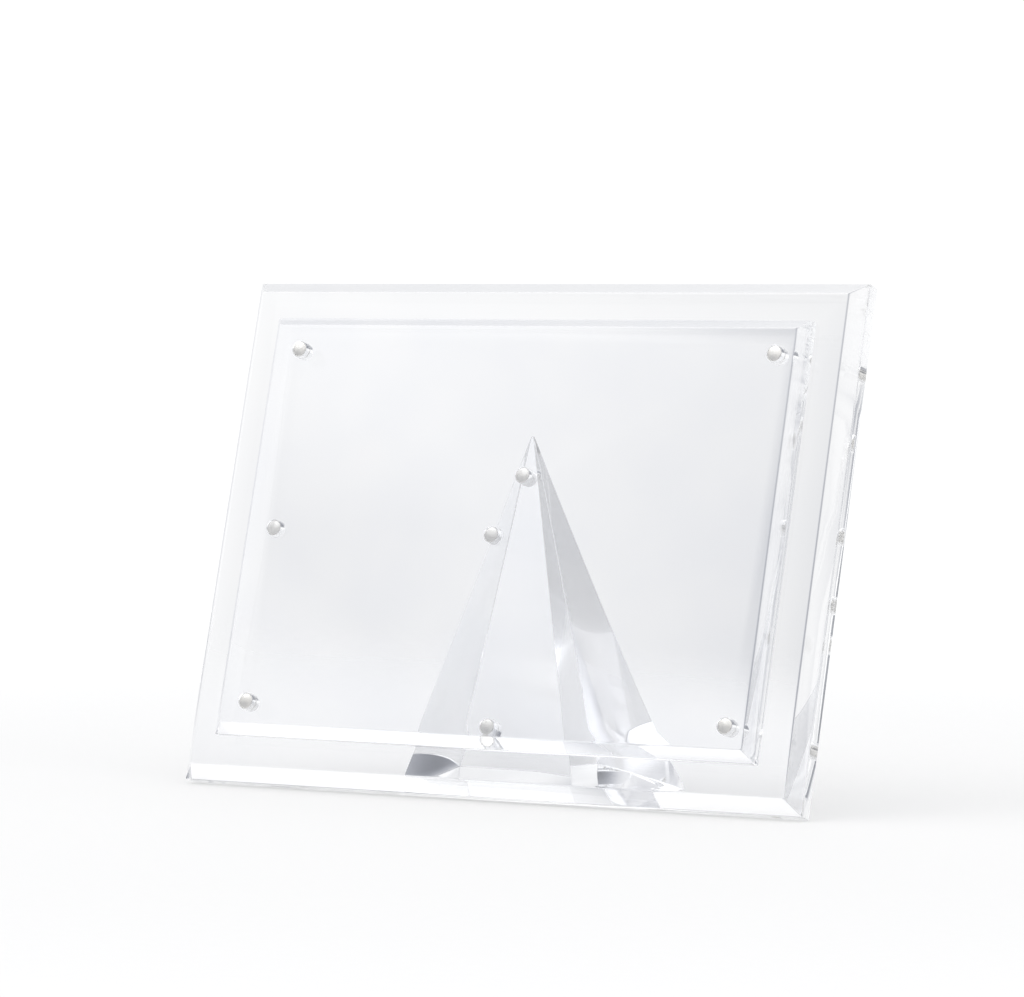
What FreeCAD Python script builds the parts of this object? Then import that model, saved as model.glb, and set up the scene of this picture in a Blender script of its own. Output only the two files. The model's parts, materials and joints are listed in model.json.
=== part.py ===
"""Clear acrylic block photo frame on a pyramid easel.

Two polished, bevelled acrylic blocks hold a print between them by four pairs of disc magnets.
The back block leans on one face of a solid acrylic pyramid, where two more pairs hold it.
A second pair of dock magnets in the back block lets it stand upright on the same pyramid.

All lengths are millimetres. X runs along the blocks' long side, the front faces -Y, and Z is up.
The origin is on the table, at the centre of the pyramid's base.

Blocks, bores and magnets are drawn on an upright plate first: the back block's back face lies in
y = 0, its lower edge in z = 0, and the front looks towards -Y. lean() then tips them into place.
"""
import math
import os

import FreeCAD
import Part

# Back block: the 8 by 6 inch plate
BACK_WIDTH = 203.2
BACK_HEIGHT = 152.4
BACK_THICKNESS = 9.5
BACK_BEVEL_WIDTH = 4.0
BACK_BEVEL_DEPTH = 4.6

# Front block: the 7 by 5 inch plate, centred on the back block
FRONT_WIDTH = 177.8
FRONT_HEIGHT = 127.0
FRONT_THICKNESS = 5.6
FRONT_BEVEL_WIDTH = 3.1
FRONT_BEVEL_DEPTH = 3.4

# The polished arris that breaks every edge of a block
BLOCK_ARRIS = 0.25

# Easel: a square pyramid with a small polished flat instead of a point
EASEL_BASE = 58.0
EASEL_HEIGHT = 102.0
EASEL_TIP_FLAT = 0.8
EASEL_ARRIS = 0.2

# Room for the print between the blocks, and between the back block and the easel
PRINT_GAP = 0.3
DOCK_GAP = 0.2

# Magnets: 3/16 inch discs, with longer ones in the back block where the easel docks
MAGNET_DIAMETER = 4.76
DISC_LENGTH = 3.18
DOCK_LENGTH = 3.97
MAGNET_RIM_CHAMFER = 0.25

# Fit of a magnet in its blind bore, and how far it sits under the face
BORE_SIDE_CLEARANCE = 0.06
BORE_END_CLEARANCE = 0.1
BORE_MOUTH_CHAMFER = 0.15
MAGNET_RECESS = 0.05

# Places of the magnets: in from the front block's edges, up from the edge that stands on the
# table, and the least wall that the upper bore leaves beside it in the easel's face
CORNER_INSET = 10.1
DOCK_LOW = 20.0
DOCK_HIGH_WALL = 0.9

# How far a cutting tool starts outside the face that it cuts
OVERRUN = 1.0

# Turns about X, in degrees, that point a solid built along +Y to the front or up
TO_FRONT = 180
TO_TOP = 90
FULL_TURN = 360

# The pyramid's slope sets how far the blocks lean back
LEAN = math.atan2((EASEL_BASE - EASEL_TIP_FLAT) / 2, EASEL_HEIGHT)

# Along the slope of a face, from the base to the point where its two edges would meet
FACE_LENGTH = EASEL_BASE / 2 / math.sin(LEAN)
FACE_HALF_ANGLE = math.atan2(EASEL_BASE / 2, FACE_LENGTH)

BORE_RADIUS = MAGNET_DIAMETER / 2 + BORE_SIDE_CLEARANCE
BORE_MOUTH_RADIUS = BORE_RADIUS + BORE_MOUTH_CHAMFER
DOCK_HIGH = FACE_LENGTH - (BORE_MOUTH_RADIUS + DOCK_HIGH_WALL) / math.sin(FACE_HALF_ANGLE)

FRONT_BACK_FACE = -(BACK_THICKNESS + PRINT_GAP)
FRONT_LIFT = (BACK_HEIGHT - FRONT_HEIGHT) / 2

# Where the back block's back plane meets the table, and how far the arris lets the block down
FOOT_LINE = -(EASEL_BASE / 2 + DOCK_GAP / math.cos(LEAN))
ARRIS_DROP = BLOCK_ARRIS * math.tan(LEAN)


def save(node, shape):
    """Writes one node's solid to its STEP file."""
    shape.exportStep(os.path.join("parts", node + ".step"))


def lean(shape):
    """Tips an upright shape back about its lower back edge and stands it on the table."""
    placed = shape.copy()
    placed.translate(FreeCAD.Vector(0, 0, -ARRIS_DROP))
    placed.rotate(FreeCAD.Vector(0, 0, 0), FreeCAD.Vector(1, 0, 0), -math.degrees(LEAN))
    placed.translate(FreeCAD.Vector(0, FOOT_LINE, 0))
    return placed


def frustum(base, top, rise, turn):
    """A solid with four flat sides that tapers from the base rectangle to the top rectangle.

    Both are (width along X, the other side), and are centred over each other. It starts at the
    origin and rises towards +Y, turned about X by an angle in degrees.
    """
    width, depth = base
    top_width, top_depth = top
    solid = Part.makeWedge(
        -width / 2,
        0,
        -depth / 2,
        -top_depth / 2,
        -top_width / 2,
        width / 2,
        rise,
        depth / 2,
        top_depth / 2,
        top_width / 2,
    )
    solid.rotate(FreeCAD.Vector(0, 0, 0), FreeCAD.Vector(1, 0, 0), turn)
    return solid


def bevelled_block(width, height, thickness, bevel_width, bevel_depth, back_y, low):
    """A plate with square rear edges, a wide bevel round its front and an arris on every edge.

    The walls run straight from the back face to the bevel, which is a frustum that narrows from
    there to the smaller front face.
    """
    wall = thickness - bevel_depth
    outline = (width, height)
    face = (width - 2 * bevel_width, height - 2 * bevel_width)
    slab = frustum(outline, outline, wall, TO_FRONT)
    bevel = frustum(outline, face, bevel_depth, TO_FRONT)
    bevel.translate(FreeCAD.Vector(0, -wall, 0))
    block = slab.fuse(bevel).removeSplitter()
    block = block.makeChamfer(BLOCK_ARRIS, block.Edges)
    block.translate(FreeCAD.Vector(0, back_y, low + height / 2))
    return block


def into_plate(x, z, mouth_y, direction):
    """A placement at (x, mouth_y, z) whose local Z runs into the plate, along +Y or -Y."""
    turn = FreeCAD.Rotation(FreeCAD.Vector(0, 0, 1), FreeCAD.Vector(0, direction, 0))
    return FreeCAD.Placement(FreeCAD.Vector(x, mouth_y, z), turn)


def blind_bore(x, z, mouth_y, direction, magnet_length):
    """The tool for one magnet's flat-bottomed bore with a chamfered mouth, a revolved profile."""
    depth = MAGNET_RECESS + magnet_length + BORE_END_CLEARANCE
    profile = [
        (0, -OVERRUN),
        (BORE_MOUTH_RADIUS, -OVERRUN),
        (BORE_MOUTH_RADIUS, 0),
        (BORE_RADIUS, BORE_MOUTH_CHAMFER),
        (BORE_RADIUS, depth),
        (0, depth),
    ]
    corners = [FreeCAD.Vector(radius, 0, z_local) for radius, z_local in profile]
    section = Part.Face(Part.makePolygon(corners + corners[:1]))
    tool = section.revolve(FreeCAD.Vector(0, 0, 0), FreeCAD.Vector(0, 0, 1), FULL_TURN)
    tool.Placement = into_plate(x, z, mouth_y, direction)
    return tool


def magnet(x, z, mouth_y, direction, length):
    """A plated disc magnet with broken rims, seated just under the face that its bore opens in."""
    body = Part.makeCylinder(MAGNET_DIAMETER / 2, length, FreeCAD.Vector(0, 0, MAGNET_RECESS))
    rims = [edge for edge in body.Edges if edge.Closed]
    body = body.makeChamfer(MAGNET_RIM_CHAMFER, rims)
    body.Placement = into_plate(x, z, mouth_y, direction)
    return body


def corner_places():
    """The four magnet places near the front block's corners, by name, as (x, z)."""
    reach = FRONT_WIDTH / 2 - CORNER_INSET
    low = FRONT_LIFT + CORNER_INSET
    high = FRONT_LIFT + FRONT_HEIGHT - CORNER_INSET
    return {
        "lower_left": (-reach, low),
        "lower_right": (reach, low),
        "upper_left": (-reach, high),
        "upper_right": (reach, high),
    }


def landscape_places():
    """The two dock places over the long edge, on the block's upright centre line."""
    return {"lower": (0, DOCK_LOW), "upper": (0, DOCK_HIGH)}


def portrait_places():
    """The same two places over the left edge, which is the foot when the block stands upright."""
    left_edge = -BACK_WIDTH / 2
    middle = BACK_HEIGHT / 2
    return {"lower": (left_edge + DOCK_LOW, middle), "upper": (left_edge + DOCK_HIGH, middle)}


def back_block():
    """The large plate, bored from the front at its corners and from the back at both docks."""
    block = bevelled_block(
        BACK_WIDTH, BACK_HEIGHT, BACK_THICKNESS, BACK_BEVEL_WIDTH, BACK_BEVEL_DEPTH, 0, 0
    )
    tools = [
        blind_bore(x, z, -BACK_THICKNESS, 1, DISC_LENGTH) for x, z in corner_places().values()
    ]
    for places in (landscape_places(), portrait_places()):
        tools += [blind_bore(x, z, 0, -1, DOCK_LENGTH) for x, z in places.values()]
    return block.cut(tools)


def front_block():
    """The small plate, bored from its back face near the corners."""
    block = bevelled_block(
        FRONT_WIDTH,
        FRONT_HEIGHT,
        FRONT_THICKNESS,
        FRONT_BEVEL_WIDTH,
        FRONT_BEVEL_DEPTH,
        FRONT_BACK_FACE,
        FRONT_LIFT,
    )
    tools = [
        blind_bore(x, z, FRONT_BACK_FACE, -1, DISC_LENGTH) for x, z in corner_places().values()
    ]
    return block.cut(tools)


def easel_pyramid():
    """The solid pyramid, with two bores square to its front face, parallel to the back block.

    Its base and its four long edges are broken as far as the flat at the tip allows.
    """
    base = (EASEL_BASE, EASEL_BASE)
    tip = (EASEL_TIP_FLAT, EASEL_TIP_FLAT)
    pyramid = frustum(base, tip, EASEL_HEIGHT, TO_TOP)
    below_tip = [edge for edge in pyramid.Edges if edge.BoundBox.ZMin < EASEL_HEIGHT / 2]
    pyramid = pyramid.makeChamfer(min(EASEL_ARRIS, EASEL_TIP_FLAT / 3), below_tip)
    tools = [
        lean(blind_bore(x, z, DOCK_GAP, 1, DISC_LENGTH)) for x, z in landscape_places().values()
    ]
    return pyramid.cut(tools)


def main():
    os.makedirs("parts", exist_ok=True)
    save("back_block", lean(back_block()))
    save("front_block", lean(front_block()))
    save("easel_pyramid", easel_pyramid())
    for name, (x, z) in corner_places().items():
        save("front_magnet_" + name, lean(magnet(x, z, FRONT_BACK_FACE, -1, DISC_LENGTH)))
        save("back_magnet_" + name, lean(magnet(x, z, -BACK_THICKNESS, 1, DISC_LENGTH)))
    for name, (x, z) in landscape_places().items():
        save("landscape_magnet_" + name, lean(magnet(x, z, 0, -1, DOCK_LENGTH)))
        save("easel_magnet_" + name, lean(magnet(x, z, DOCK_GAP, 1, DISC_LENGTH)))
    for name, (x, z) in portrait_places().items():
        save("portrait_magnet_" + name, lean(magnet(x, z, 0, -1, DOCK_LENGTH)))
    print("the blocks lean back", round(math.degrees(LEAN), 3), "degrees")
    print("the upper dock is", round(DOCK_HIGH, 2), "mm up from the resting edge")


main()
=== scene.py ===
"""Looks of a clear acrylic photo frame: two bevelled blocks, a pyramid easel and its magnets.

Everything is in metres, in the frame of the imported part: +X to the right along the blocks, +Y to
the back and +Z up, with the origin on the table under the middle of the easel.

The blocks are worked out on an upright plate first, as (across, behind, up): behind counts from
the back block's back face towards the easel, and up from its lower edge. lean() then tips them
back onto the easel.
"""
import json
import math

import bmesh
import bpy
import numpy as np
from mathutils import Matrix, Vector
from mathutils.geometry import tessellate_polygon


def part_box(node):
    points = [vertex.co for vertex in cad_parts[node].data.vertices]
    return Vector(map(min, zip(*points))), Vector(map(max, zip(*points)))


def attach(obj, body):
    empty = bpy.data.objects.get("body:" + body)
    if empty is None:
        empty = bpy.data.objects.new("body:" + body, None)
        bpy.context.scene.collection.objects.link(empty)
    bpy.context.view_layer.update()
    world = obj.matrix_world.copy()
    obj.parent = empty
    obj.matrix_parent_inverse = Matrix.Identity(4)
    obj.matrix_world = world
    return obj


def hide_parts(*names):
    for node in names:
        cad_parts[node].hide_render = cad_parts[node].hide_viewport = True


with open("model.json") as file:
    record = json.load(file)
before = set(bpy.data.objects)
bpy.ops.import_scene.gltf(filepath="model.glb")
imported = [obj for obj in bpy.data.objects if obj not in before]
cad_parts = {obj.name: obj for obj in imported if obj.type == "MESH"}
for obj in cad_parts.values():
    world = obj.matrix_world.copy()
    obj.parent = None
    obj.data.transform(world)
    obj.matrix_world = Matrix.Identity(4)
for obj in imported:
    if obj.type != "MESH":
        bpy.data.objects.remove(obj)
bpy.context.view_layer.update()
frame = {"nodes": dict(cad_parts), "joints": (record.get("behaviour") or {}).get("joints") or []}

bl_info = {
    "name": "Acrylic photo frame looks",
    "version": (1, 0, 0),
    "blender": (4, 5, 0),
    "location": "3D View > Sidebar > Frame looks",
    "description": "Finishes the acrylic blocks, the easel and the magnets, and sets the studio",
    "category": "Object",
}

MM = 0.001

# The blocks' front looks along the axis that they lift off by, tipped back by the lean
LIFT_AXIS = np.array(frame["joints"][0]["axis"], dtype=float)
LEAN_COS = -LIFT_AXIS[1]
LEAN_SIN = LIFT_AXIS[2]

# Facets round a bore or a magnet, round an eased edge and round the floor
ROUND_FACETS = 72
EDGE_FACETS = 4
FLOOR_FACETS = 96

# The arris of the CAD model's blocks, which lets the leaning back block stand a little lower
CAD_ARRIS = 0.25 * MM

# Seen from the front, a block's corners are rounded by at least its edge over the first of these.
# The plain grid of a magnet's face ends as many rims in from its side as the second says.
SHARPEST_CORNER = 5
FACE_INSET = 1.5

# Points nearer than this are one, and edges sharper than this keep a crisp shade
WELD = 0.0001 * MM
CRISP = math.radians(20)

# How a magnet's name starts: its body, the piece and the face that its bore opens in, and which
# way the bore runs, 1 towards the easel and -1 to the front
MAGNET_FAMILIES = {
    "front": ("front_block", "front_block", "back", -1),
    "back": ("back_block", "back_block", "front", 1),
    "landscape": ("back_block", "back_block", "back", -1),
    "portrait": ("back_block", "back_block", "back", -1),
    "easel": ("easel", "easel_pyramid", "front", 1),
}
MAGNET_NODES = sorted(node for node in frame["nodes"] if "_magnet_" in node)

# The detail of the finishes, in metres: the waves of cast acrylic, the drill's rings in a bore and
# the clouds and grain of the plate, each as its size and its depth
CAST_WAVE, CAST_DEPTH = 22 * MM, 0.004 * MM
RING_PITCH, RING_DEPTH = 0.3 * MM, 0.0015 * MM
PLATE_CLOUD, PLATE_GRAIN, PLATE_DEPTH = 1.1 * MM, 0.12 * MM, 0.0006 * MM

# Hairlines: how finely their noise is drawn across them, behind and along them, the degrees that
# it is turned by for each of two sets, and where a crest of it starts and is a full hairline. The
# turn comes after the scale, so both sets run straight up and differ only in where they lie.
HAIRLINE_SCALE = (2600, 2600, 30)
HAIRLINE_TURN, SECOND_TURN = 31, -54
CREST_FOOT, CREST_TOP = 0.70, 0.74

# The values of a noise between which a tint or a cloud drifts from none to full
DRIFT_FROM, DRIFT_TO = 0.3, 0.7

# The power of the acrylic's tint where it is deepest. Where the plate is dull, the share of its
# colour that is left and what its roughness is times, and how much less that is where it is bright
DEEPEST_TINT = 1.6
DULL_COLOUR = 0.9
DULL_ROUGHNESS, BRIGHT_RELIEF = 1.4, 0.6

# The floor: how far under the easel it lies, where it starts to fade and where it has gone, the
# size and depth of its grain, the share of its colour in the greyer parts, and its roughness
FLOOR_DROP = 0.15 * MM
FLOOR_FADE, FLOOR_REACH = 0.22, 0.75
FLOOR_GRAIN, FLOOR_TOOTH = 4 * MM, 0.02 * MM
GREYER_FLOOR = 0.96
FLOOR_ROUGHNESS = 0.6

# How often light bounces before it is lost, which the sides of the clear blocks need
LIGHT_BOUNCES = 64

# The room's even light, and how bright the sweep behind is in the picture itself
ROOM_LEVEL, SWEEP_LEVEL = 1.0, 1.05

# The room's soft lights and dark cloths: the azimuth and elevation that each is round, how far it
# spreads, all in degrees, and what it adds
ROOM_LIGHTS = (
    (300, 52, 20, 0.70),
    (325, 40, 11, 0.90),
    (325, 20, 12, -0.50),
    (210, 24, 9, 0.25),
    (240, 50, 16, -0.85),
    (45, 4, 14, -0.85),
    (75, 34, 13, 0.60),
    (217, -2, 4.3, -0.36),
    (228, -3, 6, -0.60),
    (270, 13, 7, -0.80),
    (300, 17, 7, -0.60),
    (10, 10, 12, -0.50),
    (105, 20, 14, -0.60),
    (180, 38, 12, -0.50),
)

# The colour of the room where it has no light, and where it has
SHADE_COLOUR = (0.80, 0.85, 1.0, 1)
PLAIN_WHITE = (1, 1, 1, 1)

# A low strip light at the right behind with a dark cloth over it: the azimuth and elevation that
# both are round, their spread, where the strip ends and the cloth is full, and what each adds
STRIP_AZIMUTH, STRIP_ELEVATION, STRIP_SPREAD = 150, 10, 26
STRIP_TOP, CLOTH_FOOT = 5, 11
STRIP_LIGHT, CLOTH_LIGHT = 0.20, -0.76


# Settings that a user would change

def length(name, description, default):
    """A length in metres, shown in the scene's units."""
    return bpy.props.FloatProperty(
        name=name, description=description, default=default, min=0, subtype="DISTANCE", unit="LENGTH"
    )


def angle(name, description, degrees):
    """An angle, given here in degrees."""
    return bpy.props.FloatProperty(
        name=name, description=description, default=math.radians(degrees), subtype="ANGLE", unit="ROTATION"
    )


def colour(name, description, default):
    """A plain colour, as linear red, green and blue."""
    return bpy.props.FloatVectorProperty(
        name=name, description=description, default=default, size=3, min=0, max=1, subtype="COLOR"
    )


def amount(name, description, default, most=1.0):
    """A plain number from nothing to a most."""
    return bpy.props.FloatProperty(name=name, description=description, default=default, min=0, max=most)


class BackBlockSettings(bpy.types.PropertyGroup):
    width: length("Width", "Length of the back block along its long side", 203.2 * MM)
    height: length("Height", "Height of the back block up its slope", 152.4 * MM)
    thickness: length("Thickness", "Thickness of the back block", 9.5 * MM)
    bevel_width: length("Bevel width", "How far the bevel reaches in over the front", 4.0 * MM)
    bevel_depth: length("Bevel depth", "How far the bevel reaches down the sides", 4.6 * MM)


class FrontBlockSettings(bpy.types.PropertyGroup):
    width: length("Width", "Length of the front block along its long side", 177.8 * MM)
    height: length("Height", "Height of the front block up its slope", 127.0 * MM)
    thickness: length("Thickness", "Thickness of the front block", 5.6 * MM)
    bevel_width: length("Bevel width", "How far the bevel reaches in over the front", 3.1 * MM)
    bevel_depth: length("Bevel depth", "How far the bevel reaches down the sides", 3.4 * MM)
    print_gap: length("Print gap", "Room for a print between the blocks", 0.3 * MM)


class EaselSettings(bpy.types.PropertyGroup):
    base: length("Base", "Side of the pyramid's square base", 58.0 * MM)
    height: length("Height", "Height of the pyramid", 102.0 * MM)
    tip: length("Tip", "Side of the small flat at the top", 0.8 * MM)
    dock_gap: length("Dock gap", "Room between the back block and the pyramid", 0.2 * MM)


class MagnetSettings(bpy.types.PropertyGroup):
    diameter: length("Diameter", "Across a magnet", 4.76 * MM)
    disc_length: length("Disc length", "Length of the magnets that face each other", 3.18 * MM)
    dock_length: length("Dock length", "Length of the longer magnets that meet the easel's", 3.97 * MM)
    rim: length("Rim", "How far the plated rim is rounded", 0.35 * MM)
    crown: length("Crown", "How far a tumbled face falls from its middle to its rim", 0.12 * MM)
    recess: length("Recess", "How far a magnet sits under its face", 0.05 * MM)
    side_room: length("Side room", "Room round a magnet in its bore", 0.06 * MM)
    end_room: length("End room", "Room behind a magnet in its bore", 0.1 * MM)
    mouth: length("Mouth", "Chamfer at the mouth of a bore", 0.15 * MM)
    plate: colour("Plate", "Colour of the nickel plate", (0.80, 0.785, 0.75))
    plate_roughness: amount("Plate roughness", "How matt the nickel plate is", 0.16)


class AcrylicSettings(bpy.types.PropertyGroup):
    tint: colour("Tint", "Colour that the cast acrylic gives the light", (0.976, 0.979, 0.987))
    ior: amount("Refractive index", "How strongly the acrylic bends light", 1.49, 2.5)
    hairlines: amount("Hairlines", "Roughness in the hairlines of the polish", 0.05)
    bore_roughness: amount("Bore roughness", "How satin the drilled bores are", 0.12)
    block_edge: length("Block edge", "How far a block's edges are eased", 0.38 * MM)
    easel_edge: length("Easel edge", "How far the easel's edges are eased", 0.23 * MM)


class StudioSettings(bpy.types.PropertyGroup):
    azimuth: angle("Camera azimuth", "Round the frame, from its front towards its right", 29.895)
    elevation: angle("Camera elevation", "Above the table", 2.184)
    roll: angle("Camera roll", "Turn about the line of sight", 0.271)
    distance: length("Camera distance", "From the lens to the point it looks at", 1.3702)
    lens: amount("Focal length", "Focal length in millimetres", 169.2, 1000.0)
    sensor: amount("Sensor width", "Width of the sensor in millimetres", 36.0, 100.0)
    floor: colour("Floor", "Colour of the white table top", (0.5, 0.5, 0.5))
    floor_glow: amount("Floor glow", "Light that comes up through the table top", 0.53, 10.0)
    target: bpy.props.FloatVectorProperty(
        name="Target",
        description="The point that the camera looks at",
        default=(6.64 * MM, -29.21 * MM, 86.60 * MM),
        subtype="TRANSLATION",
        unit="LENGTH",
    )


class FrameLooks(bpy.types.PropertyGroup):
    back_block: bpy.props.PointerProperty(type=BackBlockSettings)
    front_block: bpy.props.PointerProperty(type=FrontBlockSettings)
    easel: bpy.props.PointerProperty(type=EaselSettings)
    magnets: bpy.props.PointerProperty(type=MagnetSettings)
    acrylic: bpy.props.PointerProperty(type=AcrylicSettings)
    studio: bpy.props.PointerProperty(type=StudioSettings)


def looks():
    """All the settings, as the scene holds them."""
    return bpy.context.scene.frame_looks


# Places on the leaning plate

def foot():
    """Where the back block's back face meets the table, and how far it is let down, as (y, drop).

    The face is the dock gap away from the easel's slope, which starts half a base from the middle.
    The drop is the CAD model's arris times the tangent of the lean.
    """
    easel = looks().easel
    return -(easel.base / 2 + easel.dock_gap / LEAN_COS), CAD_ARRIS * LEAN_SIN / LEAN_COS


def lean(points):
    """Tips points of the upright plate back about its foot: a turn about X by the lean."""
    foot_y, drop = foot()
    across, behind, up = np.moveaxis(np.asarray(points, dtype=float), -1, 0)
    up = up - drop
    y = foot_y + behind * LEAN_COS + up * LEAN_SIN
    z = up * LEAN_COS - behind * LEAN_SIN
    return np.stack((across, y, z), axis=-1)


def stand_up(points):
    """The upright plate's coordinates of points in the world: lean() undone."""
    foot_y, drop = foot()
    across, y, z = np.moveaxis(np.asarray(points, dtype=float), -1, 0)
    behind = (y - foot_y) * LEAN_COS - z * LEAN_SIN
    up = (y - foot_y) * LEAN_SIN + z * LEAN_COS + drop
    return np.stack((across, behind, up), axis=-1)


def magnet_middle(node):
    """The middle of a magnet's CAD node, on the upright plate."""
    low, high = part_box(node)
    return stand_up((np.array(low) + np.array(high)) / 2)


def magnet_length(node):
    """How long a magnet is: those behind the docks are longer than the rest."""
    magnets = looks().magnets
    docks_behind = node.startswith(("landscape", "portrait"))
    return magnets.dock_length if docks_behind else magnets.disc_length


# Shapes

def eased(corners, setback, facets=EDGE_FACETS):
    """A line through the corners with each inner one rounded by an arc that touches both legs.

    The arc starts a setback before the corner and ends a setback after it. Its radius is the
    setback over the tangent of half the turn, and its points are evenly spaced in angle.
    """
    corners = np.asarray(corners, dtype=float)
    line = [corners[:1]]
    for before, corner, after in zip(corners, corners[1:], corners[2:]):
        inward = (before - corner) / np.linalg.norm(before - corner)
        outward = (after - corner) / np.linalg.norm(after - corner)
        turn = math.pi - math.acos(np.clip(inward @ outward, -1, 1))
        radius = setback / math.tan(turn / 2)
        middle = (inward + outward) / np.linalg.norm(inward + outward)
        centre = corner + middle * math.hypot(radius, setback)
        start = corner + inward * setback - centre
        end = corner + outward * setback - centre
        sweep = np.linspace(0, turn, facets + 1)[:, None]
        line.append(centre + (np.sin(turn - sweep) * start + np.sin(sweep) * end) / math.sin(turn))
    line.append(corners[-1:])
    return np.concatenate(line)


def rounded_loops(half_widths, half_heights, radii):
    """Rectangles with rounded corners, one a row: (rows, points round the loop, 2).

    Each corner is a quarter circle of the row's radius about the point that lies that radius in
    from both sides. The straight sides are the gaps between neighbouring quarters.
    """
    quarter = np.linspace(0, math.pi / 2, EDGE_FACETS + 1)
    turns = np.concatenate([quarter + side * math.pi / 2 for side in range(4)])
    right = np.repeat([1, -1, -1, 1], EDGE_FACETS + 1)
    top = np.repeat([1, 1, -1, -1], EDGE_FACETS + 1)
    across = (half_widths - radii)[:, None] * right + radii[:, None] * np.cos(turns)
    up = (half_heights - radii)[:, None] * top + radii[:, None] * np.sin(turns)
    return np.stack((across, up), axis=-1)


def revolved(profile, mouth, into):
    """A profile of (radius, distance in) carried round a line through the plate: (rows, turns, 3).

    Round the mouth, a point is the radius times the cosine of its turn across and the radius
    times the sine up, and the distance in goes behind or to the front.
    """
    radius, distance = np.asarray(profile, dtype=float).T[:, :, None]
    turns = np.linspace(0, 2 * math.pi, ROUND_FACETS, endpoint=False)
    across = mouth[0] + radius * np.cos(turns)
    up = mouth[2] + radius * np.sin(turns)
    behind = np.broadcast_to(mouth[1] + into * distance, across.shape)
    return np.stack((across, behind, up), axis=-1)


class Shell:
    """Gathers grids and flat faces that share their rims into one closed mesh."""

    def __init__(self):
        self.points = []
        self.faces = []
        self.milled = []
        self.smooth = []
        self.count = 0

    def _keep(self, points, faces, milled=False, smooth=False):
        self.points.append(points)
        self.faces.extend((np.asarray(faces) + self.count).tolist())
        self.milled.extend([float(milled)] * len(faces))
        self.smooth.extend([smooth] * len(faces))
        self.count += len(points)

    def grid(self, points, milled=False, smooth=False, leave_out=None):
        """Quads between a grid's neighbouring rows, whose columns close round on themselves."""
        rows, columns = points.shape[:2]
        row, column = np.meshgrid(np.arange(rows - 1), np.arange(columns), indexing="ij")
        here = row * columns + column
        beside = row * columns + (column + 1) % columns
        quads = np.stack((here, beside, beside + columns, here + columns), axis=-1)
        kept = np.ones((rows - 1, columns), dtype=bool)
        if leave_out is not None:
            kept[leave_out] = False
        self._keep(points.reshape(-1, 3), quads[kept], milled, smooth)

    def flat(self, outline, holes=()):
        """A flat face inside its outline and outside its holes, cut into triangles."""
        loops = [np.asarray(loop) for loop in (outline, *holes)]
        triangles = tessellate_polygon([loop.tolist() for loop in loops])
        self._keep(np.concatenate(loops), triangles)

    def make(self, name):
        """Welds the rims, turns every face outwards and returns the finished object."""
        mesh = bpy.data.meshes.new(name)
        mesh.from_pydata(np.concatenate(self.points), [], self.faces)
        mesh.attributes.new("milled", "FLOAT", "FACE").data.foreach_set("value", self.milled)
        mesh.polygons.foreach_set("use_smooth", self.smooth)
        body = bmesh.new()
        body.from_mesh(mesh)
        bmesh.ops.remove_doubles(body, verts=body.verts, dist=WELD)
        bmesh.ops.recalc_face_normals(body, faces=body.faces)
        body.to_mesh(mesh)
        body.free()
        mesh.set_sharp_from_angle(angle=CRISP)
        piece = bpy.data.objects.new(name, mesh)
        bpy.context.scene.collection.objects.link(piece)
        return piece


def cut_bore(shell, node, face, into):
    """Adds a magnet's blind bore to a shell and returns its rim in the face.

    Its profile is a chamfered mouth, a straight wall and a flat bottom with an eased corner.
    """
    magnets = looks().magnets
    across, _, up = magnet_middle(node)
    radius = magnets.diameter / 2 + magnets.side_room
    depth = magnets.recess + magnet_length(node) + magnets.end_room
    wall = eased([(radius, magnets.mouth), (radius, depth), (0, depth)], magnets.mouth)
    profile = np.concatenate(([(radius + magnets.mouth, 0)], wall))
    points = revolved(profile, (across, face, up), into)
    shell.grid(points, milled=True, smooth=True)
    return points[0]


def block_piece(node, sizes, back, low):
    """A bevelled block: its section carried round a rectangle, with flat faces and their bores.

    The section runs from the back face out round the eased back edge, up the wall and over the
    bevel to the front face. At each of its points the rectangle is smaller by the inset. Its first
    and last corners only point along the two faces, and are left out.
    """
    edge = looks().acrylic.block_edge
    wall = sizes.thickness - sizes.bevel_depth
    corners = [
        (2 * edge, 0),
        (0, 0),
        (0, wall),
        (sizes.bevel_width, sizes.thickness),
        (sizes.bevel_width + 2 * edge, sizes.thickness),
    ]
    inset, depth = eased(corners, edge)[1:-1].T
    radii = np.where(depth < edge, np.maximum(edge - inset, edge / SHARPEST_CORNER), edge)
    loops = rounded_loops(sizes.width / 2 - inset, sizes.height / 2 - inset, radii)
    behind = np.broadcast_to(back - depth[:, None], loops.shape[:2])
    points = np.stack((loops[..., 0], behind, loops[..., 1] + low + sizes.height / 2), axis=-1)
    shell = Shell()
    faces = {"back": (back, points[0]), "front": (back - sizes.thickness, points[-1])}
    rims = {"back": [], "front": []}
    for magnet in MAGNET_NODES:
        _, plate, side, into = MAGNET_FAMILIES[magnet.split("_")[0]]
        if plate == node:
            rims[side].append(cut_bore(shell, magnet, faces[side][0], into))
    shell.grid(points)
    for side, (_, outline) in faces.items():
        shell.flat(outline, rims[side])
    shell.points = [lean(np.concatenate(shell.points))]
    return shell.make(node + "_polished")


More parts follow.
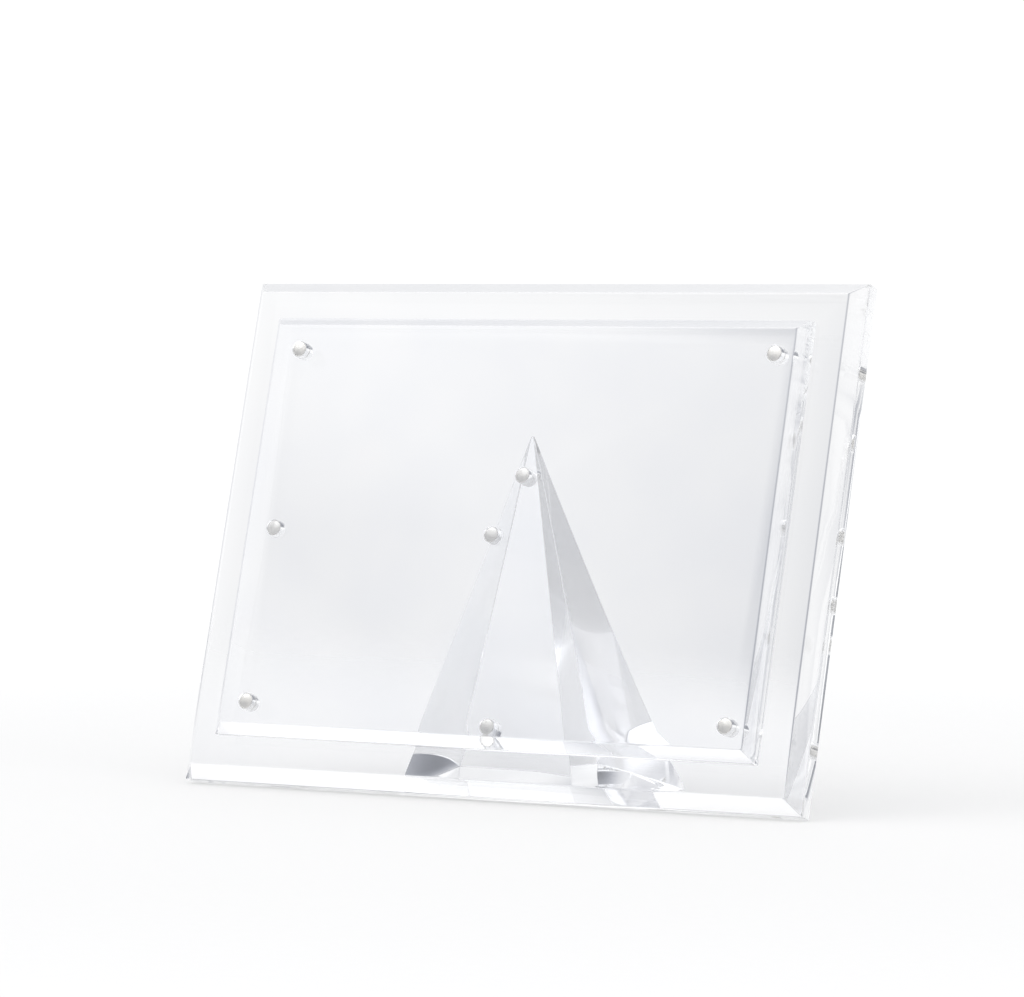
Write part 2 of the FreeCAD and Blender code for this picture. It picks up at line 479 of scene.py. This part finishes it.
def easel_piece():
    """The pyramid: a rounded square that shrinks evenly with height, and two bores in its front.

    The half side falls in a straight line from half the base to half the tip. The section's first
    and last corners only point along the base and the tip, and are left out. The long quad of the
    front slope lies above the base's eased edge and after the third rounded corner. It is left out
    of the grid and filled in round the bores.
    """
    sizes = looks().easel
    edge = looks().acrylic.easel_edge
    under_base = sizes.base / 4
    corners = [(under_base, 0), (sizes.base / 2, 0), (sizes.tip / 2, sizes.height), (0, sizes.height)]
    half_sides, heights = eased(corners, edge)[1:-1].T
    radii = np.minimum(edge, half_sides / 2)
    loops = rounded_loops(half_sides, half_sides, radii)
    levels = np.broadcast_to(heights[:, None, None], (*loops.shape[:2], 1))
    points = np.concatenate((loops, levels), axis=-1)
    slope_row = EDGE_FACETS
    front_column = 3 * (EDGE_FACETS + 1) - 1
    low, high = points[slope_row:slope_row + 2, front_column:front_column + 2]
    front = np.concatenate((low, high[::-1]))
    shell = Shell()
    rims = []
    for magnet in MAGNET_NODES:
        if magnet.startswith("easel"):
            rims.append(lean(cut_bore(shell, magnet, sizes.dock_gap, 1)))
    shell.points = [lean(np.concatenate(shell.points))]
    shell.grid(points, leave_out=(slope_row, front_column))
    shell.flat(front, rims)
    shell.flat(points[0])
    shell.flat(points[-1])
    return shell.make("easel_pyramid_polished")


def magnet_piece(node):
    """A plated disc: a profile with rounded rims carried round its axis, from pole to pole.

    Both faces are crowned: they fall towards the rim by the crown times the square of how far
    out a point is.
    """
    magnets = looks().magnets
    radius = magnets.diameter / 2
    thick = magnet_length(node)
    section = [(0, 0), (radius, 0), (radius, thick), (0, thick)]
    rounded = eased(section, magnets.rim, 2 * EDGE_FACETS)[1:-1]
    across_face = np.linspace(0, radius - FACE_INSET * magnets.rim, 2 * EDGE_FACETS)
    near = np.column_stack((across_face, np.zeros(len(across_face))))
    far = np.column_stack((across_face[::-1], np.full(len(across_face), thick)))
    profile = np.concatenate((near, rounded, far))
    fall = magnets.crown * (profile[:, 0] / radius) ** 2
    profile[:, 1] += np.where(profile[:, 1] < thick / 2, fall, -fall)
    points = revolved(profile, magnet_middle(node) - (0, thick / 2, 0), 1)
    shell = Shell()
    shell.grid(lean(points), smooth=True)
    return shell.make(node + "_disc")


# Shader maths

class Value:
    """A node socket that Python's operators work on: each adds one Math or Vector Math node."""

    def __init__(self, tree, socket):
        self.tree = tree
        self.socket = socket

    def _join(self, operation, first, second):
        kind = "ShaderNodeMath" if self.socket.type == "VALUE" else "ShaderNodeVectorMath"
        return self.tree.add(kind, {"operation": operation}, {0: first, 1: second})

    def __add__(self, other):
        return self._join("ADD", self, other)

    def __radd__(self, other):
        return self._join("ADD", other, self)

    def __sub__(self, other):
        return self._join("SUBTRACT", self, other)

    def __rsub__(self, other):
        return self._join("SUBTRACT", other, self)

    def __mul__(self, other):
        return self._join("MULTIPLY", self, other)

    def __rmul__(self, other):
        return self._join("MULTIPLY", other, self)

    def dot(self, direction):
        inputs = {0: self, 1: direction}
        return self.tree.add("ShaderNodeVectorMath", {"operation": "DOT_PRODUCT"}, inputs, "Value")

    def length(self):
        return self.tree.add("ShaderNodeVectorMath", {"operation": "LENGTH"}, {0: self}, "Value")

    def sine(self):
        return self.tree.add("ShaderNodeMath", {"operation": "SINE"}, {0: self})

    def exponent(self):
        return self.tree.add("ShaderNodeMath", {"operation": "EXPONENT"}, {0: self})

    def between(self, low, high):
        """0 below low, 1 above high and an even curve between them."""
        settings = {"interpolation_type": "SMOOTHSTEP"}
        return self.tree.add("ShaderNodeMapRange", settings, {0: self, 1: low, 2: high})


class Shading:
    """A node tree with the one method that adds its nodes."""

    def __init__(self, tree):
        self.nodes = tree.nodes
        self.links = tree.links

    def add(self, kind, settings=None, inputs=None, output=0):
        """Adds a node of a kind: its settings first, then what its sockets hold or are fed by."""
        node = self.nodes.new(kind)
        for name, setting in (settings or {}).items():
            setattr(node, name, setting)
        for key, value in (inputs or {}).items():
            self.feed(node.inputs[key], value)
        return Value(self, node.outputs[output])

    def feed(self, socket, value):
        """Links a Value to a socket, or sets the socket to a plain number, vector or colour."""
        if isinstance(value, Value):
            self.links.new(value.socket, socket)
        else:
            socket.default_value = value

    def position(self):
        return self.add("ShaderNodeTexCoord", output="Object")

    def plain(self, number):
        """A plain number as a Value, to start a sum with."""
        return self.add("ShaderNodeMath", {"operation": "ADD"}, {0: number, 1: 0.0})

    def noise(self, vector, scale, detail):
        """A noise of a scale per metre, with so many finer noises laid over it."""
        inputs = {"Vector": vector, "Scale": scale, "Detail": detail}
        return self.add("ShaderNodeTexNoise", inputs=inputs)

    def hairlines(self, vector, degrees):
        """Thin, rare scratches that run straight up: 1 in one, 0 beside it.

        Their noise is drawn out along them and then turned, which moves them and leans none over.
        """
        turn = {"Vector": vector, "Rotation": (0, math.radians(degrees), 0), "Scale": HAIRLINE_SCALE}
        drawn = self.add("ShaderNodeMapping", inputs=turn)
        return self.noise(drawn, scale=1.0, detail=1.0).between(CREST_FOOT, CREST_TOP)

    def blend(self, factor, first, second):
        """The first colour where the factor is 0 and the second where it is 1."""
        inputs = {"Factor": factor, 6: first, 7: second}
        return self.add("ShaderNodeMix", {"data_type": "RGBA"}, inputs, 2)

    def bump(self, height, distance):
        return self.add("ShaderNodeBump", inputs={"Height": height, "Distance": distance}, output="Normal")


class Finish(Shading):
    """One material: its values feed a Principled BSDF."""

    def __init__(self, name):
        self.material = bpy.data.materials.new(name)
        self.material.use_nodes = True
        super().__init__(self.material.node_tree)
        self.surface = self.nodes["Principled BSDF"]

    def set(self, **values):
        """Feeds the shader's sockets: base_color is its Base Color, and so on."""
        labels = {"ior": "IOR", "specular": "Specular IOR Level"}
        for name, value in values.items():
            self.feed(self.surface.inputs[labels.get(name, name.replace("_", " ").title())], value)


def polished_acrylic(name):
    """Clear cast acrylic: polished faces with faint hairlines, and satin bores where it is drilled.

    The sheet waves by a few micrometres and its tint drifts, as in cast acrylic. Hairlines are the
    rare high crests of a noise that is drawn out straight up, in two sets. A bore is satin, with
    the drill's rings round it: a sine of the depth along the axis that the blocks lift off by.
    """
    acrylic = looks().acrylic
    finish = Finish(name)
    place = finish.position()
    cast = finish.noise(place, 1 / CAST_WAVE, detail=1.0)
    hairlines = finish.hairlines(place, HAIRLINE_TURN) + finish.hairlines(place, SECOND_TURN)
    milled = finish.add("ShaderNodeAttribute", {"attribute_name": "milled"}, output="Fac")
    rings = (place.dot(LIFT_AXIS) * (2 * math.pi / RING_PITCH)).sine() * milled
    deeper = tuple(channel ** DEEPEST_TINT for channel in acrylic.tint)
    finish.set(
        base_color=finish.blend(cast.between(DRIFT_FROM, DRIFT_TO), (*acrylic.tint, 1), (*deeper, 1)),
        transmission_weight=1.0,
        roughness=hairlines * acrylic.hairlines + milled * acrylic.bore_roughness,
        ior=acrylic.ior,
        normal=finish.bump(cast * CAST_DEPTH + rings * RING_DEPTH, 1.0),
    )
    return finish.material


def nickel_plate(name):
    """Bright nickel plate over a tumbled magnet: cloudy, a little uneven in shine and fine grained."""
    magnets = looks().magnets
    finish = Finish(name)
    place = finish.position()
    bright = finish.noise(place, 1 / PLATE_CLOUD, detail=3.0).between(DRIFT_FROM, DRIFT_TO)
    grain = finish.noise(place, 1 / PLATE_GRAIN, detail=2.0)
    dull = tuple(channel * DULL_COLOUR for channel in magnets.plate)
    finish.set(
        base_color=finish.blend(bright, (*dull, 1), (*magnets.plate, 1)),
        metallic=1.0,
        roughness=magnets.plate_roughness * (DULL_ROUGHNESS - bright * BRIGHT_RELIEF),
        normal=finish.bump(grain, PLATE_DEPTH),
    )
    return finish.material


# Pieces

def seat(piece, body, node, material):
    """Puts a finished piece on its body in place of its CAD node."""
    piece.data.materials.append(material)
    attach(piece, body)
    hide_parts(node)


class FRAME_OT_polish_blocks(bpy.types.Operator):
    """Makes the two bevelled blocks with their bores, in clear polished acrylic"""

    bl_idname = "frame_looks.polish_blocks"
    bl_label = "Polish the blocks"

    def execute(self, context):
        back, front = looks().back_block, looks().front_block
        piece = block_piece("back_block", back, 0, 0)
        material = polished_acrylic("clear_acrylic_back")
        seat(piece, "back_block", "back_block", material)
        front_back = -(back.thickness + front.print_gap)
        front_low = (back.height - front.height) / 2
        piece = block_piece("front_block", front, front_back, front_low)
        material = polished_acrylic("clear_acrylic_front")
        seat(piece, "front_block", "front_block", material)
        return {"FINISHED"}


class FRAME_OT_polish_easel(bpy.types.Operator):
    """Makes the solid pyramid that the blocks lean on"""

    bl_idname = "frame_looks.polish_easel"
    bl_label = "Polish the easel"

    def execute(self, context):
        material = polished_acrylic("clear_acrylic_easel")
        seat(easel_piece(), "easel", "easel_pyramid", material)
        return {"FINISHED"}


class FRAME_OT_plate_magnets(bpy.types.Operator):
    """Makes the fourteen plated disc magnets"""

    bl_idname = "frame_looks.plate_magnets"
    bl_label = "Plate the magnets"

    def execute(self, context):
        plate = nickel_plate("nickel_plate")
        for node in MAGNET_NODES:
            body = MAGNET_FAMILIES[node.split("_")[0]][0]
            seat(magnet_piece(node), body, node, plate)
        return {"FINISHED"}


class FRAME_OT_set_studio(bpy.types.Operator):
    """Lays the pale floor and sets the light and the camera"""

    bl_idname = "frame_looks.set_studio"
    bl_label = "Set the studio"

    def execute(self, context):
        lay_floor()
        light_studio()
        set_camera()
        return {"FINISHED"}


def lay_floor():
    """A white table top, lit a little from below, that fades into the sweep so that no edge shows.

    Its rim is a circle round the easel. The cloudy grain of its white is a noise, and it turns
    clear from one distance to another round the easel.
    """
    studio = looks().studio
    turns = np.linspace(0, 2 * math.pi, FLOOR_FACETS, endpoint=False)
    level = np.full(FLOOR_FACETS, -FLOOR_DROP)
    rim = np.column_stack((np.cos(turns) * FLOOR_REACH, np.sin(turns) * FLOOR_REACH, level))
    mesh = bpy.data.meshes.new("floor")
    mesh.from_pydata(rim, [], [list(range(FLOOR_FACETS))])
    floor = bpy.data.objects.new("floor", mesh)
    bpy.context.scene.collection.objects.link(floor)
    finish = Finish("floor_white")
    place = finish.position()
    grain = finish.noise(place, 1 / FLOOR_GRAIN, detail=4.0)
    greyer = tuple(GREYER_FLOOR * channel for channel in studio.floor)
    finish.set(
        base_color=finish.blend(grain, (*greyer, 1), (*studio.floor, 1)),
        roughness=FLOOR_ROUGHNESS,
        specular=0.0,
        emission_color=PLAIN_WHITE,
        emission_strength=studio.floor_glow,
        alpha=1.0 - place.length().between(FLOOR_FADE, FLOOR_REACH),
        normal=finish.bump(grain, FLOOR_TOOTH),
    )
    mesh.materials.append(finish.material)


def light_studio():
    """An evenly lit room with soft lights and dark cloths in it, and a strip light at the right.

    Light comes from every direction. Each light or cloth is a soft patch round an azimuth and an
    elevation, which is added to the even light. Over the strip light the same patch turns, from
    one height to another, into a dark cloth. Where the room has no light its grey is bluish, and
    what the picture shows of the room itself is whitened, as in the photograph.
    """
    room = bpy.data.worlds.new("studio")
    room.use_nodes = True
    light = Shading(room.node_tree)
    towards = light.add("ShaderNodeTexCoord", output="Generated")
    strength = light.plain(ROOM_LEVEL)
    for azimuth, elevation, spread, change in ROOM_LIGHTS:
        strength = strength + glow(towards, azimuth, elevation, spread) * change
    height = towards.dot((0, 0, 1))
    cloth = height.between(math.sin(math.radians(STRIP_TOP)), math.sin(math.radians(CLOTH_FOOT)))
    strip = glow(towards, STRIP_AZIMUTH, STRIP_ELEVATION, STRIP_SPREAD)
    strength = strength + strip * (cloth * (CLOTH_LIGHT - STRIP_LIGHT) + STRIP_LIGHT)
    in_picture = light.add("ShaderNodeLightPath", output="Is Camera Ray")
    strength = strength + in_picture * (SWEEP_LEVEL - strength)
    room_colour = light.blend(strength.between(0.0, 1.0), SHADE_COLOUR, PLAIN_WHITE)
    background = light.nodes["Background"]
    light.feed(background.inputs["Color"], room_colour)
    light.feed(background.inputs["Strength"], strength)
    bpy.context.scene.world = room


def glow(towards, azimuth, elevation, spread):
    """1 towards an azimuth and elevation, falling off round it like a bell, all in degrees.

    It is e to the power of (the cosine of the angle away from there less one, over the spread
    squared), which is a normal curve of the angle for small angles.
    """
    around, above = math.radians(azimuth), math.radians(elevation)
    level = math.cos(above)
    aim = (math.sin(around) * level, -math.cos(around) * level, math.sin(above))
    return ((towards.dot(aim) - 1.0) * (1 / math.radians(spread) ** 2)).exponent()


def set_camera():
    """A long lens near the table, at the photograph's angle."""
    studio = looks().studio
    camera = bpy.data.cameras.new("camera")
    camera.lens = studio.lens
    camera.sensor_width = studio.sensor
    back = Vector((
        math.sin(studio.azimuth) * math.cos(studio.elevation),
        -math.cos(studio.azimuth) * math.cos(studio.elevation),
        math.sin(studio.elevation),
    ))
    right = Vector((0, 0, 1)).cross(back).normalized()
    up = back.cross(right)
    rolled_right = right * math.cos(studio.roll) + up * math.sin(studio.roll)
    rolled_up = up * math.cos(studio.roll) - right * math.sin(studio.roll)
    place = Matrix((rolled_right, rolled_up, back)).transposed().to_4x4()
    place.translation = Vector(studio.target) + back * studio.distance
    holder = bpy.data.objects.new("camera", camera)
    holder.matrix_world = place
    bpy.context.scene.collection.objects.link(holder)
    bpy.context.scene.camera = holder


def prepare_light_paths():
    """Lets light bounce often enough inside the clear blocks, and keeps whites plain."""
    scene = bpy.context.scene
    scene.view_settings.view_transform = "Standard"
    scene.cycles.use_denoising = True
    scene.cycles.max_bounces = LIGHT_BOUNCES
    scene.cycles.transmission_bounces = LIGHT_BOUNCES
    scene.cycles.glossy_bounces = LIGHT_BOUNCES


class FRAME_PT_looks(bpy.types.Panel):
    """Lists the operators in the sidebar"""

    bl_label = "Frame looks"
    bl_idname = "FRAME_PT_looks"
    bl_space_type = "VIEW_3D"
    bl_region_type = "UI"
    bl_category = "Frame looks"

    def draw(self, context):
        for operator in OPERATORS:
            self.layout.operator(operator.bl_idname)


OPERATORS = (
    FRAME_OT_polish_blocks,
    FRAME_OT_polish_easel,
    FRAME_OT_plate_magnets,
    FRAME_OT_set_studio,
)
CLASSES = (
    BackBlockSettings,
    FrontBlockSettings,
    EaselSettings,
    MagnetSettings,
    AcrylicSettings,
    StudioSettings,
    FrameLooks,
    *OPERATORS,
    FRAME_PT_looks,
)


def register():
    for kind in CLASSES:
        bpy.utils.register_class(kind)
    bpy.types.Scene.frame_looks = bpy.props.PointerProperty(type=FrameLooks)


def unregister():
    del bpy.types.Scene.frame_looks
    for kind in reversed(CLASSES):
        bpy.utils.unregister_class(kind)


def main():
    register()
    prepare_light_paths()
    bpy.ops.frame_looks.polish_blocks()
    bpy.ops.frame_looks.polish_easel()
    bpy.ops.frame_looks.plate_magnets()
    bpy.ops.frame_looks.set_studio()


if __name__ == "__main__":
    main()
